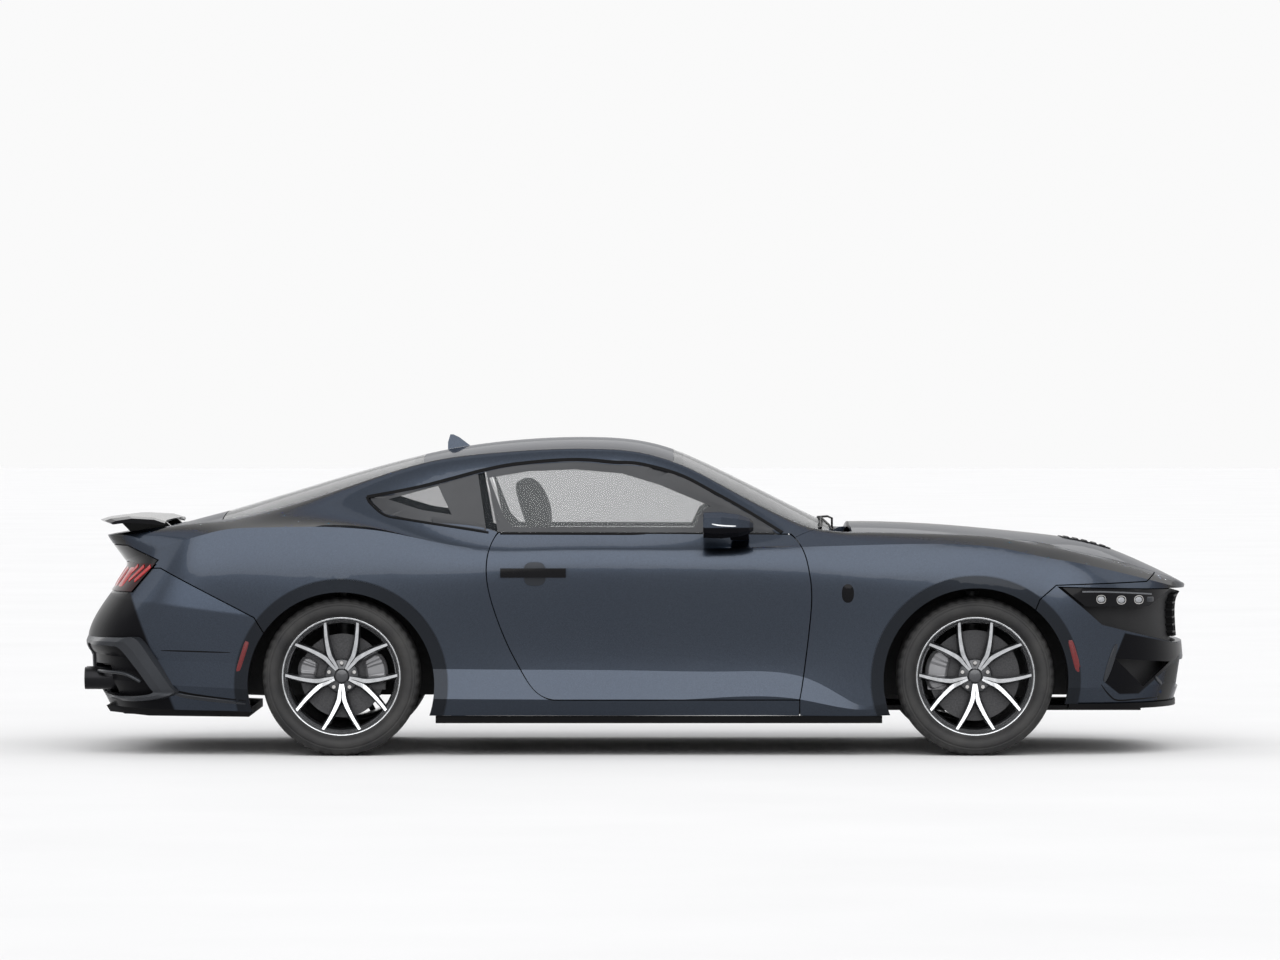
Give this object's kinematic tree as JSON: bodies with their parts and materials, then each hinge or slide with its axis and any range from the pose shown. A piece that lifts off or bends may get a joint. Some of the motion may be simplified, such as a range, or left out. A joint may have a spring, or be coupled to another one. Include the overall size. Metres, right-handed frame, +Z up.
{
  "type": "two-door fastback coupe car",
  "caption": "Low two-door fastback coupe car with a long hood, separate doors, lids and glass, a cabin with seats, and wheels that roll and steer.",
  "frame": {"origin": "centre of the bounding box in plan, at the ground", "axes": "+X towards the nose, +Y towards the left side, +Z up"},
  "size_m": [4.8072, 2.08, 1.3761],
  "materials": {
    "paint": "metallic, clear coated",
    "gloss_black": "gloss",
    "black_plastic": "fine grain",
    "glass": "tinted",
    "lamp_lens": "clear",
    "tail_lens": "gloss red",
    "tyre": "rubber",
    "wheel_alloy": "machined and clear coated",
    "brake_iron": "turned",
    "gear_steel": "satin",
    "underbody": "matt",
    "engine_iron": "cast",
    "exhaust_steel": "polished",
    "seat_leather": "fine grain",
    "trim_plastic": "soft grain"
  },
  "bodies": {
    "root": {"body_sides": "paint", "fenders": "paint", "roof_panel": "paint", "front_bumper": "paint", "rear_bumper": "paint", "tail_panel": "gloss_black", "aerial_fin": "paint", "fixed_glass": "glass", "cowl": "black_plastic", "body_frame": "underbody", "front_trays": "black_plastic", "front_splitter": "black_plastic", "side_skirts": "black_plastic", "rear_diffuser": "black_plastic", "tailpipes": "exhaust_steel", "headlamps": "lamp_lens", "upper_grille": "black_plastic", "tail_lamps": "tail_lens", "suspension": "gear_steel", "wheel_houses": "black_plastic", "engine_block": "engine_iron", "platform": "underbody", "front_seats": "seat_leather", "rear_seat": "seat_leather", "dashboard": "trim_plastic", "steering_wheel": "seat_leather", "wipers": "black_plastic"},
    "door_right": {"door_right": "paint", "door_glass_right": "glass", "mirror_right": "gloss_black", "door_handle_right": "gloss_black"},
    "door_left": {"door_left": "paint", "door_glass_left": "glass", "mirror_left": "gloss_black", "door_handle_left": "gloss_black"},
    "hood": {"hood": "paint"},
    "deck_lid": {"deck_lid": "paint", "rear_wing": "gloss_black"},
    "knuckle_right": {"knuckle_right": "gear_steel"},
    "knuckle_left": {"knuckle_left": "gear_steel"},
    "wheel_front_right": {"tyre_front_right": "tyre", "rim_front_right": "wheel_alloy", "brake_disc_front_right": "brake_iron"},
    "wheel_front_left": {"tyre_front_left": "tyre", "rim_front_left": "wheel_alloy", "brake_disc_front_left": "brake_iron"},
    "wheel_rear_right": {"tyre_rear_right": "tyre", "rim_rear_right": "wheel_alloy", "brake_disc_rear_right": "brake_iron"},
    "wheel_rear_left": {"tyre_rear_left": "tyre", "rim_rear_left": "wheel_alloy", "brake_disc_rear_left": "brake_iron"}
  },
  "joints": [
    {"name": "steer_right", "type": "hinge", "parent": "root", "child": "knuckle_right", "pos_m": [1.45, -0.698, 0.34], "axis": [0, 0, 1], "range_deg": [-35, 35]},
    {"name": "steer_left", "type": "hinge", "parent": "root", "child": "knuckle_left", "pos_m": [1.45, 0.698, 0.34], "axis": [0, 0, 1], "range_deg": [-35, 35]},
    {"name": "spin_front_right", "type": "hinge", "parent": "knuckle_right", "child": "wheel_front_right", "pos_m": [1.45, -0.79, 0.34], "axis": [0, 1, 0], "continuous": true},
    {"name": "spin_front_left", "type": "hinge", "parent": "knuckle_left", "child": "wheel_front_left", "pos_m": [1.45, 0.79, 0.34], "axis": [0, 1, 0], "continuous": true},
    {"name": "spin_rear_right", "type": "hinge", "parent": "root", "child": "wheel_rear_right", "pos_m": [-1.27, -0.795, 0.34], "axis": [0, 1, 0], "continuous": true},
    {"name": "spin_rear_left", "type": "hinge", "parent": "root", "child": "wheel_rear_left", "pos_m": [-1.27, 0.795, 0.34], "axis": [0, 1, 0], "continuous": true},
    {"name": "door_right_hinge", "type": "hinge", "parent": "root", "child": "door_right", "pos_m": [0.711, -0.931, 0.6], "axis": [0, 0, 1], "range_deg": [0, 68]},
    {"name": "door_left_hinge", "type": "hinge", "parent": "root", "child": "door_left", "pos_m": [0.711, 0.931, 0.6], "axis": [0, 0, -1], "range_deg": [0, 68]},
    {"name": "hood_hinge", "type": "hinge", "parent": "root", "child": "hood", "pos_m": [0.926, 0, 0.994], "axis": [0, -1, 0], "range_deg": [0, 50]},
    {"name": "deck_lid_hinge", "type": "hinge", "parent": "root", "child": "deck_lid", "pos_m": [-1.8, 0, 1.041], "axis": [0, 1, 0], "range_deg": [0, 70]}
  ],
  "couplings": [
    {"joint": "steer_left", "follows": "steer_right", "ratio": 1}
  ]
}
